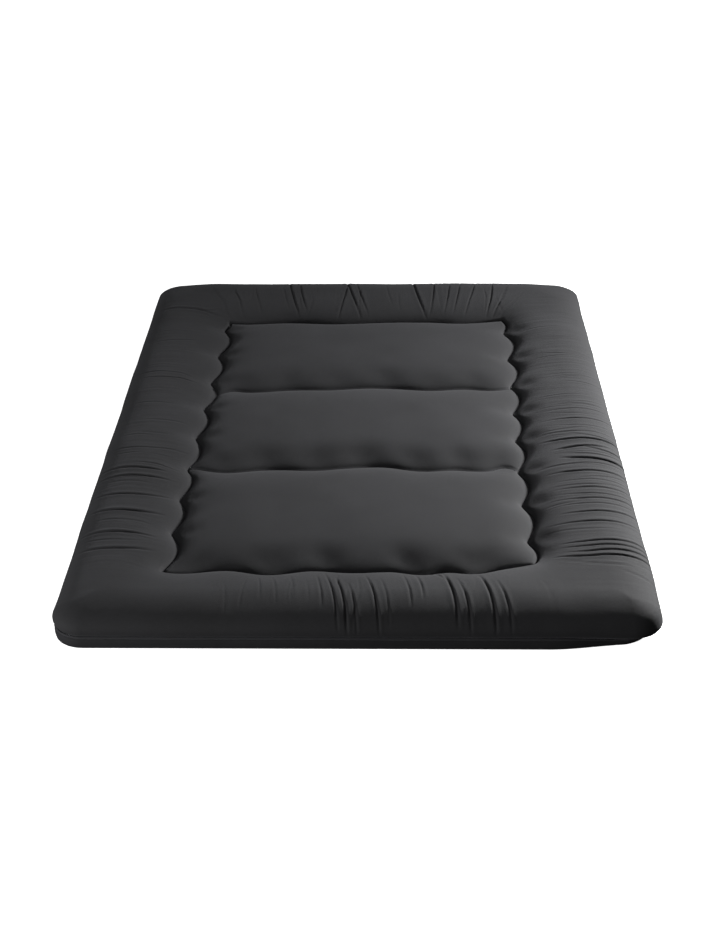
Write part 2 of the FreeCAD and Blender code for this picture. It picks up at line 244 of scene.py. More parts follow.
# the cloth stands up beside a crease: share of its depth, place and width in half-widths
CREASE_LIPS = ((0.34, 2.4, 2.2), (0.17, -2.6, 2.4))
# faint scattered creases: least and most of each measure, in the tables' units
FAINT_START = (5, 50)
FAINT_LENGTH = (25, 60)
FAINT_DEPTH = (0.4, 1.0)
FAINT_WIDTH = (2.8, 4.5)
FAINT_SLANT = 10
SEED = 7
# each border: its placed creases, its faint ones (number, from, to, depth), streak height
BORDERS = {
    "left": (LEFT_CREASES, (16, -800, 700, 1.0), 0.0002),
    "right": (RIGHT_CREASES, (30, -820, 620, 1.3), 0.0003),
    "foot": (FOOT_CREASES, (12, -300, 360, 1.0), 0.0001),
    "head": (HEAD_CREASES, (18, -450, 470, 1.2), 0.0002),
}
# unevenness in layers of streaks: height, cell along, cell across, seed
ROLL_STREAKS = ((1.0, 0.011, 0.45, SEED), (0.6, 0.0065, 0.30, SEED + 10))
FILL_LUMPS = ((0.0016, 0.16, 0.18, SEED + 20), (0.0009, 0.07, 0.08, SEED + 21))
WADDING_LUMPS = ((0.0006, 0.06, 0.06, SEED + 30),)
PIPING_PUFF = ((0.07, 0.012, 1, SEED + 40),)
PIPING_WANDER = ((0.0006, 0.09, 1, SEED + 41),)
BAND_RIPPLES = ((0.0009, 0.11, 1, SEED + 42), (0.0004, 0.018, 1, SEED + 43))
STREAK_SPREAD = 0.6  # lower carries the streaks nearer to the border's edges

# ---------- wadding, base, band, thread, label
WADDING_INSET = BAND_INSET + 0.002
WADDING_STEP = 0.02
WADDING_SINK = 0.0006  # keeps its lumps below the fill
WADDING_LIFT = 0.002  # over the highest of the base cloth
BASE_PULL = 0.0045  # how far stitching lifts the base cloth off the floor
BASE_STEP = 0.009
BASE_SOFTNESS = 0.012  # half-width of the channel at a seam
BASE_MOST = 1.2  # closeness to seams at which the cloth is lifted furthest
BASE_FADE = 0.05  # channels fade out over this much at the edge
PIPING_STEP = 0.004
PIPING_SIDES = 12
BAND_STEP = 0.005
BAND_LEVELS = 7
BAND_CLOTH = 0.0011  # thickness
BAND_SWELL = 0.0022  # how far the wadding pushes it out
BAND_SQUARENESS = 0.7  # lower is a squarer bulge
STITCH_LENGTH = 0.0070
STITCH_PITCH = 0.0095
STITCH_RADIUS = 0.0006
STITCH_SIDES = 6
# one stitch, which dives at both ends: place in lengths, height and thickness in radii
STITCH_SHAPE = (
    (-0.5, -1.6, 0.5), (-0.36, -0.3, 1.0), (0.0, 0.2, 1.1), (0.36, -0.3, 1.0), (0.5, -1.6, 0.5),
)
LABEL_CELLS = (24, 10)
LABEL_GAP = 0.0022  # in front of the CAD label, clear of the swollen band
LABEL_CURL = 0.0035  # how far its free edge stands off
LABEL_WAVE = 0.4  # share of the curl that comes and goes along it
LABEL_HALF_WAVES = 2.2

# ---------- shading, camera, lights
MOTTLE = {"Scale": 5.0, "Detail": 4.0, "Roughness": 0.5}
NAP = {"Scale": 160.0, "Detail": 4.0, "Roughness": 0.6}
WEAVE = {"Distortion": 1.5, "Detail": 1.0}
MOTTLE_SHARE = 0.6  # of the colour variation
NAP_SHARE = 0.4
WEAVE_SHARE = 0.4  # of the bump, to 1 of the nap
COLOUR_RANGE = (0.35, 0.65)  # variation at which cloth is darkest and lightest
CLOTH_ROUGHNESS = {"To Min": 0.78, "To Max": 0.92}
CLOTH_SHINE = {
    "Specular IOR Level": 0.25, "Sheen Roughness": 0.45, "Sheen Tint": (0.75, 0.76, 0.82, 1),
}
BUMP_HEIGHT = 0.0006
SPAN = 40.0  # of the floor, each way
FLOOR_SHADER = {
    "Base Color": (0.95, 0.95, 0.95, 1), "Roughness": 0.9,
    "Emission Color": (1, 1, 1, 1), "Emission Strength": 1.0,
}
# the sky's light over the height of the direction that it comes from
SKY_RAMP = {"From Min": -0.05, "From Max": 0.45, "To Min": 0.02, "To Max": 0.20}
CAMERA_PLACE = (0.0745, -3.961, 2.029)
CAMERA_LENS = 62.21
CAMERA_SENSOR = 36.0
CAMERA_DOWN = 27.93  # degrees below the horizon
CAMERA_LEFT = 1.226
CAMERA_ROLL = -0.498


# ---------- small maths
def smooth_curve(points, values):
    """Cubic curve through listed points, read at the given values of the first number."""
    knots = np.array(sorted(points))
    x, y = knots[:, 0], knots[:, 1]
    slope = np.gradient(y, x)
    at = np.clip(values, x[0], x[-1])
    k = np.clip(np.searchsorted(x, at) - 1, 0, len(x) - 2)
    step = x[k + 1] - x[k]
    t = (at - x[k]) / step
    rise = (2 * t**3 - 3 * t**2 + 1) * y[k] + (3 * t**2 - 2 * t**3) * y[k + 1]
    lean = (t**3 - 2 * t**2 + t) * slope[k] + (t**3 - t**2) * slope[k + 1]
    return rise + lean * step


def bump(t):
    """1 at 0, falling smoothly to 0 at -1 and 1."""
    return np.clip(1 - t * t, 0, None) ** 2


def unit(t):
    """Kept between 0 and 1."""
    return np.clip(t, 0, 1)


def smoothstep(t):
    """Eases from 0 to 1."""
    return t * t * (3 - 2 * t)


def run_along(places):
    """Length of a path up to each of its points."""
    return np.append(0, np.cumsum(np.hypot(*np.diff(places, axis=0).T)))


def lobes(y, tacks):
    """0 at every tack and up to 1 between them, fuller towards the head end of each lobe."""
    edges = np.array(sorted(tacks + (FOOT_SEAM - LOBE_END, HEAD_SEAM + LOBE_END)))
    k = np.clip(np.searchsorted(edges, y) - 1, 0, len(edges) - 2)
    length = edges[k + 1] - edges[k]
    t = unit((y - edges[k]) / length)
    reach = np.clip(length / LOBE_LENGTH, *LOBE_REACH)
    return np.sin(math.pi * t**LOBE_LEAN) ** LOBE_POWER * reach


def left_seam(y):
    return smooth_curve(LEFT_LINE, y) + SIDE_LOBE * lobes(y, LEFT_TACKS)


def right_seam(y):
    return smooth_curve(RIGHT_LINE, y) + SIDE_LOBE * lobes(y, RIGHT_TACKS)


TRANSVERSE = (
    (HEAD_SEAM, HEAD_LINE),
    (HEAD_FOLD, HEAD_QUILT),
    (FOOT_FOLD, FOOT_QUILT),
    (FOOT_SEAM, FOOT_LINE),
)
SIDES = ((-SEAM_X, left_seam), (SEAM_X, right_seam))


def warp(x, y):
    """Moves a straight layout so that its seam lines take their sewn, wavy course."""
    inside = bump(unit((np.abs(x) - SEAM_X) / WARP_REACH))
    new_y = y.copy()
    for line, points in TRANSVERSE:
        shift = smooth_curve(points, x) - line
        new_y += shift * bump((y - line) / WARP_REACH) * inside
    beyond = np.maximum(new_y - HEAD_SEAM, FOOT_SEAM - new_y)
    level = bump(unit(beyond / WARP_REACH))
    new_x = x.copy()
    for line, seam in SIDES:
        new_x += (seam(new_y) - line) * bump((x - line) / WARP_REACH) * level
    return new_x, new_y


def streaks(along, across, cell_along, cell_across, seed):
    """Smooth random streaks that run across a border, about -1 to 1."""
    random = np.random.default_rng(seed)
    i = along / cell_along
    j = across / cell_across
    i0 = np.floor(i).astype(int)
    j0 = np.floor(j).astype(int)
    table = random.uniform(-1, 1, (i0.max() - i0.min() + 2, j0.max() - j0.min() + 2))
    u = smoothstep(i - i0)
    v = smoothstep(j - j0)
    i0 = i0 - i0.min()
    j0 = j0 - j0.min()
    low = table[i0, j0] * (1 - u) + table[i0 + 1, j0] * u
    high = table[i0, j0 + 1] * (1 - u) + table[i0 + 1, j0 + 1] * u
    return low * (1 - v) + high * v


def uneven(along, across, layers, shift=0):
    """Sum of layers of streaks, each with its height, two cells and seed."""
    return sum(
        height * streaks(along, across, *cells, seed + shift) for height, *cells, seed in layers
    )


# ---------- the cloth surface
def roll_profile():
    """Points of the roll from the corner centre's distance outwards and under, by arc length."""
    rise = CROWN - WAIST
    start = math.acos((ROLL_REACH - CORNER_RADIUS) / ROLL_REACH)
    above, below = PROFILE_POINTS
    upper = np.linspace(start, 0, above)
    reach = CORNER_RADIUS - ROLL_REACH
    out = reach + ROLL_REACH * np.cos(upper)
    height = WAIST + rise * np.sin(upper)
    under = np.linspace(0, math.asin((WAIST - TUCK_HEIGHT) / TUCK_RISE), below)[1:]
    out = np.append(out, reach + ROLL_REACH * np.cos(under))
    height = np.append(height, WAIST - TUCK_RISE * np.sin(under))
    return run_along(np.stack([out, height], 1)), out, height


ROLL_LENGTH, ROLL_OUT, ROLL_HEIGHT = roll_profile()
FLAT_RADIUS = ROLL_LENGTH[-1]
FLAT_X = CORE_X + FLAT_RADIUS
FLAT_Y = CORE_Y + FLAT_RADIUS


def crown_drop(edge_distance):
    """How far the roll is below its crown this far inside the outer edge."""
    t = unit(1 - edge_distance / ROLL_REACH)
    return (CROWN - WAIST) * (1 - np.sqrt(1 - t * t))


def round_corners(x, y, radius, profile):
    """Bends a square grid round the corners. profile says how far out each line then lies."""
    past_x = unit((np.abs(x) - CORE_X) / radius)
    past_y = unit((np.abs(y) - CORE_Y) / radius)
    far = np.maximum(past_x, past_y)
    ratio = np.divide(np.minimum(past_x, past_y), far, out=np.zeros_like(far), where=far > 0)
    angle = np.where(past_x >= past_y, ratio * math.pi / 4, math.pi / 2 - ratio * math.pi / 4)
    out = profile(far)
    new_x = np.minimum(np.abs(x), CORE_X) + out * np.cos(angle) * (past_x > 0)
    new_y = np.minimum(np.abs(y), CORE_Y) + out * np.sin(angle) * (past_y > 0)
    return np.sign(x) * new_x, np.sign(y) * new_y, far


def roll_at(far, values):
    """Reads the roll's section, from the core (0) to the sewn edge (1)."""
    return np.interp(far * FLAT_RADIUS, ROLL_LENGTH, values)


def cushion_shape(flat_x, flat_y):
    """Place of each cloth point on the plain rolled cushion, before any seam."""
    x, y, far = round_corners(flat_x, flat_y, FLAT_RADIUS, lambda far: roll_at(far, ROLL_OUT))
    edge = np.minimum(HALF_WIDTH - np.abs(x), HALF_LENGTH - np.abs(y))
    height = np.where(far > 0, roll_at(far, ROLL_HEIGHT), CROWN - crown_drop(edge))
    return x, y, height


def seam_points():
    """Points along each seam: the two sides, then the four transverse ones from the head."""
    eta = np.arange(FOOT_SEAM, HEAD_SEAM, SEAM_STEP)
    xi = np.arange(-SEAM_X, SEAM_X, SEAM_STEP)
    lines = [warp(np.full(len(eta), side), eta) for side, _ in SIDES]
    lines += [warp(xi, np.full(len(xi), line)) for line, _ in TRANSVERSE]
    return [np.stack(line, 1) for line in lines]


def closeness(x, y, points, softness):
    """1 on a seam and 0 far from it: every stretch of seam pulls on the cloth near it."""
    step = np.hypot(*np.diff(points, axis=0).T)
    weight = np.append(step, step[-1]) / (2 * softness)
    flat = np.stack([x.ravel(), y.ravel()], 1).astype(np.float32)
    total = np.zeros(len(flat), np.float32)
    reach = SEAM_REACH * softness
    for start in range(0, len(points), SEAM_CHUNK):
        part = points[start:start + SEAM_CHUNK].astype(np.float32)
        low = part.min(0) - reach
        high = part.max(0) + reach
        near = ((flat > low) & (flat < high)).all(1)
        offset = flat[near][:, None, :] - part[None, :, :]
        pull = np.exp(-np.sqrt((offset**2).sum(2)) / softness)
        total[near] += pull @ weight[start:start + SEAM_CHUNK].astype(np.float32)
    return total.reshape(x.shape)


def fullness(x, y, seams, softness):
    """0 on a seam and towards 1 on a full pillow."""
    full = np.ones_like(x)
    for points in seams:
        full *= unit(1 - closeness(x, y, points, softness)) ** SEAM_POWER
        full *= 1 - SAG_DEPTH * unit(closeness(x, y, points, SAG_SOFTNESS))
    return full


def tack_dimples(x, y, tacks, seam, side):
    """Soft hollows that spread from the tacks into the cloth on one side of a side seam."""
    total = np.zeros_like(x)
    for tack in tacks:
        centre = seam(np.array([tack]))[0] + DIMPLE_SETBACK * side
        across = (x - centre) / DIMPLE_WIDTH
        along = (y - tack + DIMPLE_SHIFT) / DIMPLE_LENGTH
        total += np.exp(-(across**2) - along**2)
    return total


def panel_hollows(x, y):
    """Soft hollows along the near edge of each panel, on the head side of its seam."""
    total = np.zeros_like(x)
    for line, strength, hollows in PANEL_HOLLOWS:
        behind = y - smooth_curve(line, x) - HOLLOW_SETBACK
        for place in hollows:
            sunk = np.exp(-((x - place) / HOLLOW_WIDTH) ** 2 - (behind / HOLLOW_LENGTH) ** 2)
            total += strength * sunk
    return total


def crease_field(along, across, creases):
    """Height of creases that cross a border."""
    total = np.zeros_like(along)
    for place, start, end, slant, depth, width in np.array(creases) * CREASE_UNITS:
        t = (across - start) / (end - start)
        bow = np.sign(slant) * CREASE_BOW * (1 - 4 * (t - 0.5) ** 2) * (end - start)
        s = (along - place - slant * (t - 0.5) - bow) / width
        near = (t > 0) & (t < 1) & (np.abs(s) < CREASE_REACH)
        fade = np.sin(math.pi * t[near]) ** CREASE_FADE
        s = s[near]
        valley = -np.exp(-s * s)
        for share, lip, spread in CREASE_LIPS:
            valley += share * np.exp(-(((s - lip) / spread) ** 2))
        total[near] += depth * fade * valley
    return total


def faint_creases(count, low, high, depth, seed):
    """Faint creases scattered along a border."""
    random = np.random.default_rng(seed)
    made = []
    for _ in range(count):
        start = random.uniform(*FAINT_START)
        end = min(100, start + random.uniform(*FAINT_LENGTH))
        made.append((
            random.uniform(low, high), start, end, random.normal(0, FAINT_SLANT),
            depth * random.uniform(*FAINT_DEPTH), random.uniform(*FAINT_WIDTH),
        ))
    return tuple(made)


def border_parts(flat_x, flat_y):
    """For each border: position along it, position across it (0 seam, 1 edge) and its share."""
    across_x = (np.abs(flat_x) - SEAM_X) / (FLAT_X - SEAM_X)
    foot = (FOOT_SEAM - flat_y) / (FOOT_SEAM + FLAT_Y)
    head = (flat_y - HEAD_SEAM) / (FLAT_Y - HEAD_SEAM)
    end = np.maximum(foot, head)
    total = np.clip(across_x, 0, None) + np.clip(end, 0, None) + TINY
    side_share = smoothstep(np.clip(across_x, 0, None) / total)
    left = side_share * (flat_x < 0)
    right = side_share * (flat_x > 0)
    return {
        "left": (flat_y, across_x, left),
        "right": (flat_y, across_x, right),
        "foot": (flat_x, foot, (1 - side_share) * (flat_y < 0)),
        "head": (flat_x, head, (1 - side_share) * (flat_y > 0)),
    }


ALL_CREASES = {
    name: placed + faint_creases(*faint, SEED + number)
    for number, (name, (placed, faint, _)) in enumerate(BORDERS.items(), 1)
}


def border_wrinkles(flat_x, flat_y):
    """Height of all creases and streaks on the border roll."""
    total = np.zeros_like(flat_x)
    for name, (along, across, share) in border_parts(flat_x, flat_y).items():
        height = crease_field(along, across, ALL_CREASES[name])
        fine = uneven(along, across, ROLL_STREAKS, len(name))
        middle = np.clip(np.sin(math.pi * unit(across)), 0, None) ** STREAK_SPREAD
        total += share * (height + BORDERS[name][-1] * fine * middle)
    return total


def surface_normals(points):
    """Unit normals of a grid of points."""
    du = np.gradient(points, axis=0)
    dv = np.gradient(points, axis=1)
    normal = np.cross(du, dv)
    return normal / np.linalg.norm(normal, axis=2, keepdims=True)


def spaced(low, high, step):
    """Evenly spaced lines from low up to, but not at, high."""
    return np.linspace(low, high, round((high - low) / step) + 1)[:-1]


def spaced_whole(low, high, step):
    """The same, in a number that every PANEL_SKIP-th line divides."""
    count = PANEL_SKIP * round((high - low) / step / PANEL_SKIP)
    return np.linspace(low, high, count + 1)[:-1]


class Layout:
    """Flat positions of a grid's lines, with lines on every seam and on the cut between halves."""

    def __init__(self, along, across):
        self.x = np.concatenate([
            spaced(-FLAT_X, -SEAM_X, across), spaced_whole(-SEAM_X, SEAM_X, along),
            spaced(SEAM_X, FLAT_X, across), [FLAT_X],
        ])
        stations = (FOOT_SEAM, FOOT_FOLD, SPLIT_Y, HEAD_FOLD, HEAD_SEAM)
        y = [spaced(-FLAT_Y, FOOT_SEAM, across)]
        y += [spaced_whole(low, high, along) for low, high in zip(stations, stations[1:])]
        y += [spaced(HEAD_SEAM, FLAT_Y, across), [FLAT_Y]]
        self.y = np.concatenate(y)
        self.field_i = [self.nearest(self.x, value) for value in (-SEAM_X, SEAM_X)]
        self.field_j = [self.nearest(self.y, value) for value in (FOOT_SEAM, HEAD_SEAM)]
        self.split_j = self.nearest(self.y, SPLIT_Y)
        self.quilt_j = [self.nearest(self.y, value) for value in (FOOT_FOLD, HEAD_FOLD)]

    @staticmethod
    def nearest(lines, value):
        return int(np.abs(lines - value).argmin())


def cloth_grid(lines_x, lines_y):
    """Flat grid, and the same grid on the cushion with its seams in their places."""
    flat_x, flat_y = np.meshgrid(lines_x, lines_y, indexing="ij")
    x, y, height = cushion_shape(flat_x, flat_y)
    x, y = warp(x, y)
    return flat_x, flat_y, x, y, height


def border_surface(layout, softness, wrinkled):
    """Grid of the whole cover, its normals and how full it is. Only its border is used."""
    flat_x, flat_y, x, y, height = cloth_grid(layout.x, layout.y)
    (i0, i1), (j0, j1) = layout.field_i, layout.field_j
    seams = seam_points()
    around = seams[:3] + seams[5:]  # the sides, the head end and the foot end
    inside = np.zeros(x.shape, bool)
    inside[i0 + 1:i1, j0 + 1:j1] = True
    full = np.ones_like(x)
    full[~inside] = fullness(x[~inside], y[~inside], around, softness)
    dimples = tack_dimples(x, y, RIGHT_TACKS, right_seam, 1)
    dimples += WEAK_DIMPLES * tack_dimples(x, y, LEFT_TACKS, left_seam, -1)
    full = full * (1 - DIMPLE_DEPTH * unit(dimples))
    full[i0:i1 + 1, [j0, j1]] = 0
    full[[i0, i1], j0:j1 + 1] = 0
    height = height - (CROWN - GROOVE) * (1 - full)
    points = np.stack([x, y, height], 2)
    normal = surface_normals(points)
    proud = uneven(flat_x, flat_y, FILL_LUMPS)
    if wrinkled:
        proud = proud + border_wrinkles(flat_x, flat_y)
    edge = np.minimum(FLAT_X - np.abs(flat_x), FLAT_Y - np.abs(flat_y))
    proud = proud * np.sqrt(full) * unit(edge / WRINKLE_FADE)
    return points + normal * proud[:, :, None], normal, full


def panel_surface(layout, skip, softness):
    """Grid of the three panels, which meet the border along the seam round the field."""
    (i0, i1), (j0, j1) = layout.field_i, layout.field_j
    flat_x, flat_y, x, y, _ = cloth_grid(layout.x[i0:i1 + 1:skip], layout.y[j0:j1 + 1:skip])
    full = fullness(x, y, seam_points(), softness)
    dimples = tack_dimples(x, y, LEFT_TACKS, left_seam, 1)
    dimples += WEAK_DIMPLES * tack_dimples(x, y, RIGHT_TACKS, right_seam, -1)
    full = full * (1 - DIMPLE_DEPTH * unit(dimples))
    full = full * (1 - HOLLOW_DEPTH * unit(panel_hollows(x, y)))
    full[:, [(row - j0) // skip for row in layout.quilt_j]] = 0
    full[[0, -1]] = 0
    full[:, [0, -1]] = 0
    height = GROOVE + (PANEL_CROWN - GROOVE) * full
    height = height + uneven(flat_x, flat_y, FILL_LUMPS) * full
    return np.stack([x, y, height], 2)


# ---------- mesh tools
def grid_quads(keep):
    """Quads of a grid's cells where keep is true, counter-clockwise seen from above."""
    rows, columns = keep.shape
    index = np.arange((rows + 1) * (columns + 1)).reshape(rows + 1, columns + 1)
    quads = np.stack(
        [index[:-1, :-1], index[1:, :-1], index[1:, 1:], index[:-1, 1:]], 2
    )
    return quads[keep]


def compact(points, quads):
    """The same faces with only the points that they use."""
    used, inverse = np.unique(quads.ravel(), return_inverse=True)
    return points.reshape(-1, 3)[used], inverse.reshape(quads.shape)


def tuck_corner(points):
    """Draws the underside in at the foot end's right corner, where the roll hangs over it."""
    offset = points[:, :2] - np.array([HALF_WIDTH, -HALF_LENGTH])
    near = bump(unit(np.hypot(*offset.T) / TUCK_REACH))
    low = unit(1 - points[:, 2] / WAIST)
    pull = TUCK_PULL * near * low * (2 - low)
    sink = TUCK_SINK * near * bump((points[:, 2] - TUCK_LEVEL) / TUCK_LEVEL)
    return points + np.stack([-pull, pull, -sink], 1)


def slacken_corners(points):
    """Lets the roll sink at the head end's corners."""
    offset = np.abs(points[:, :2]) - np.array([HALF_WIDTH, HALF_LENGTH])
    near = bump(unit(np.hypot(*offset.T) / SLACK_REACH)) * (points[:, 1] > 0)
    high = unit((points[:, 2] - WAIST) / (CROWN - WAIST))
    points = points.copy()
    points[:, 2] -= SLACK_DROP * near * high
    return points


def make_piece(name, points, quads, material):
    """Smooth mesh object from points and quads."""
    points = slacken_corners(tuck_corner(points))
    mesh = bpy.data.meshes.new(name)
    mesh.vertices.add(len(points))
    mesh.vertices.foreach_set("co", np.ascontiguousarray(points, np.float32).ravel())
    mesh.loops.add(quads.size)
    mesh.loops.foreach_set("vertex_index", quads.ravel().astype(np.int32))
    mesh.polygons.add(len(quads))
    mesh.polygons.foreach_set("loop_start", np.arange(0, quads.size, quads.shape[1], dtype=np.int32))
    mesh.update(calc_edges=True)
    mesh.shade_smooth()
    mesh.materials.append(material)
    piece = bpy.data.objects.new(name, mesh)
    bpy.context.scene.collection.objects.link(piece)
    return piece


def rim_edges(quads):
    """Edges that only one face has, in the direction in which that face runs."""
    edges = np.concatenate([quads[:, [k, (k + 1) % 4]] for k in range(4)])
    key = np.sort(edges, 1)
    _, first, count = np.unique(key, axis=0, return_index=True, return_counts=True)
    return edges[first[count == 1]]


def closed_pad(top, bottom, quads):
    """Closed solid between two copies of the same faces."""
    count = len(top)
    rim = rim_edges(quads)
    walls = np.stack([rim[:, 1], rim[:, 0], rim[:, 0] + count, rim[:, 1] + count], 1)
    return np.concatenate([top, bottom]), np.concatenate([quads, quads[:, ::-1] + count, walls])


def turned_in(points, quads, level, stretch, drop):
    """Adds a strip of seam allowance along the rim at one level."""
    rim = rim_edges(quads)
    on_level = np.abs(points[:, 2] - level) < LEVEL_MATCH
    rim = rim[on_level[rim].all(1)]
    ends, lower = np.unique(rim, return_inverse=True)
    lower = lower.reshape(rim.shape) + len(points)
    hem = points[ends] * np.array([stretch, stretch, 1]) - np.array([0, 0, drop])
    walls = np.stack([rim[:, 1], rim[:, 0], lower[:, 0], lower[:, 1]], 1)
    return np.concatenate([points, hem]), np.concatenate([quads, walls])


def bend_over_fold(piece, half):
    """Bakes the piece's transform into its mesh, the same for either half."""
    if half == "foot":
        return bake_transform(piece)
    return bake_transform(piece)


HALF_BODIES = {"foot": ("foot", "middle"), "head": ("middle", "head")}


def half_piece(name, half, shape, material, slot, *prefixes):
    """Piece of one half, for the CAD nodes with these prefixes in the half's two sections."""
    piece = make_piece(name + "_" + half + "_half", *shape, material)
    bend_over_fold(piece, half)
    nodes = [
        node for node, facts in frame["nodes"].items()
        if node.startswith(prefixes) and facts["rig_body"] in HALF_BODIES[half]
    ]
    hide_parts(*nodes)
    return piece


def half_cells(shape, half, split):
    """Cells of a grid on one side of the cut across the middle section."""
    keep = np.zeros(shape, bool)
    if half == "foot":
        keep[:, :split] = True
    else:
        keep[:, split:] = True
    return keep


# ---------- materials
def new_material(name):
    material = bpy.data.materials.new(name)
    material.use_nodes = True
    return material, material.node_tree, material.node_tree.nodes["Principled BSDF"]


def set_inputs(node, values):
    """Sets sockets of a node by name."""
    for socket, value in values.items():
        node.inputs[socket].default_value = value
    return node


def noise(tree, vector, settings):
    node = set_inputs(tree.nodes.new("ShaderNodeTexNoise"), settings)
    tree.links.new(vector, node.inputs["Vector"])
    return node.outputs["Fac"]


def maths(tree, operation, first, second):
    node = tree.nodes.new("ShaderNodeMath")
    node.operation = operation
    for socket, value in zip(node.inputs, (first, second)):
        if isinstance(value, (int, float)):
            socket.default_value = value
        else:
            tree.links.new(value, socket)
    return node.outputs["Value"]


def woven(tree, vector, scale):
    """Height of a plain weave: bands in two directions, one over the other."""
    threads = []
    for direction in ("X", "Y"):
        wave = set_inputs(tree.nodes.new("ShaderNodeTexWave"), {"Scale": scale, **WEAVE})
        wave.bands_direction = direction
        tree.links.new(vector, wave.inputs["Vector"])
        threads.append(wave.outputs["Fac"])
    return maths(tree, "MAXIMUM", *threads)


def cloth_material(name, dark, light, sheen, weave_scale, bump_strength):
    """Matte cloth: mottled colour, a fine weave and a brushed nap in its bump."""
    material, tree, shader = new_material(name)
    nodes, links = tree.nodes, tree.links
    place = nodes.new("ShaderNodeTexCoord").outputs["Object"]
    nap = noise(tree, place, NAP)
    variation = maths(
        tree, "ADD", maths(tree, "MULTIPLY", noise(tree, place, MOTTLE), MOTTLE_SHARE),
        maths(tree, "MULTIPLY", nap, NAP_SHARE),
    )
    ramp = nodes.new("ShaderNodeValToRGB")
    for stop, position, colour in zip(ramp.color_ramp.elements, COLOUR_RANGE, (dark, light)):
        stop.position = position
        stop.color = (*colour, 1)
    links.new(variation, ramp.inputs["Fac"])
    links.new(ramp.outputs["Color"], shader.inputs["Base Color"])
    rough = set_inputs(nodes.new("ShaderNodeMapRange"), CLOTH_ROUGHNESS)
    links.new(nap, rough.inputs["Value"])
    links.new(rough.outputs["Result"], shader.inputs["Roughness"])
    set_inputs(shader, {"Sheen Weight": sheen, **CLOTH_SHINE})
    weave = woven(tree, place, weave_scale)
    height = maths(tree, "ADD", maths(tree, "MULTIPLY", weave, WEAVE_SHARE), nap)
    relief = set_inputs(
        nodes.new("ShaderNodeBump"), {"Strength": bump_strength, "Distance": BUMP_HEIGHT}
    )
    links.new(height, relief.inputs["Height"])
    links.new(relief.outputs["Normal"], shader.inputs["Normal"])
    return material


# darkest and lightest colour, sheen, scale of the weave, strength of the bump
COVER = cloth_material("cover_cloth", (0.018, 0.018, 0.019), (0.024, 0.024, 0.026), 0.08, 260.0, 0.45)
# base cloth and band: black cloth, its colour set darker than the cover's as painted shade low under
# the roll
BASE_WITH_PAINTED_SHADE = cloth_material("base_cloth", (0.012, 0.012, 0.013), (0.018, 0.018, 0.020), 0.04, 180.0, 0.5)
PIPING = cloth_material("piping_cloth", (0.022, 0.022, 0.024), (0.030, 0.030, 0.033), 0.10, 220.0, 0.4)
FIBRE = cloth_material("fibre_fill", (0.74, 0.74, 0.72), (0.86, 0.86, 0.84), 0.3, 60.0, 0.8)
FOAM = cloth_material("core_foam", (0.72, 0.66, 0.50), (0.82, 0.76, 0.60), 0.0, 400.0, 0.8)
LABEL = cloth_material("label_cloth", (0.40, 0.40, 0.39), (0.50, 0.50, 0.48), 0.1, 500.0, 0.3)
THREAD = cloth_material("thread", (0.012, 0.012, 0.013), (0.020, 0.020, 0.022), 0.1, 900.0, 0.6)


# ---------- cloth
FINE = Layout(ALONG_STEP, ACROSS_STEP)
COARSE = Layout(COARSE_ALONG * ALONG_STEP, COARSE_ACROSS * ACROSS_STEP)


def ring_cells(layout, half):
    """Cells of the border on one side of the cut."""
    keep = np.ones((len(layout.x) - 1, len(layout.y) - 1), bool)
    (i0, i1), (j0, j1) = layout.field_i, layout.field_j
    keep[i0:i1, j0:j1] = False
    return keep & half_cells(keep.shape, half, layout.split_j)


def build_cover():
    """Cloth over the border roll and over the panels."""
    border = border_surface(FINE, BORDER_SOFTNESS, True)[0]
    panels = panel_surface(FINE, PANEL_SKIP, PANEL_SOFTNESS)
    cells = tuple(size - 1 for size in panels.shape[:2])
    panel_split = (FINE.split_j - FINE.field_j[0]) // PANEL_SKIP
    for half in HALF_BODIES:
        quads = grid_quads(ring_cells(FINE, half))
        cloth = turned_in(*compact(border, quads), GROOVE, 1, SEAM_ALLOWANCE)
        cloth = turned_in(*cloth, border[0, 0, 2], OUTER_TURN, LAYER_GAP)
        piece = half_piece("border_cloth", half, cloth, COVER, "cover_fabric", "border_cover")
        quads = grid_quads(half_cells(cells, half, panel_split))
        cloth = turned_in(*compact(panels, quads), GROOVE, 1, SEAM_ALLOWANCE)
        piece = half_piece("panel_cloth", half, cloth, COVER, "cover_fabric", "panel_cover")


def flattened(points, height, shrink):
    """Copy of a surface pressed flat at one height and drawn in a little."""
    flat = points.copy()
    flat[..., :2] *= shrink
    flat[..., 2] = height
    return flat


def make_pad(name, half, top, bottom, quads, material, node_prefix, slot):
    """Closed pad of one half."""
    top, used = compact(top, quads)
    bottom, _ = compact(bottom, quads)
    pad = closed_pad(top, bottom, used)
    half_piece(name, half, pad, material, slot, node_prefix)


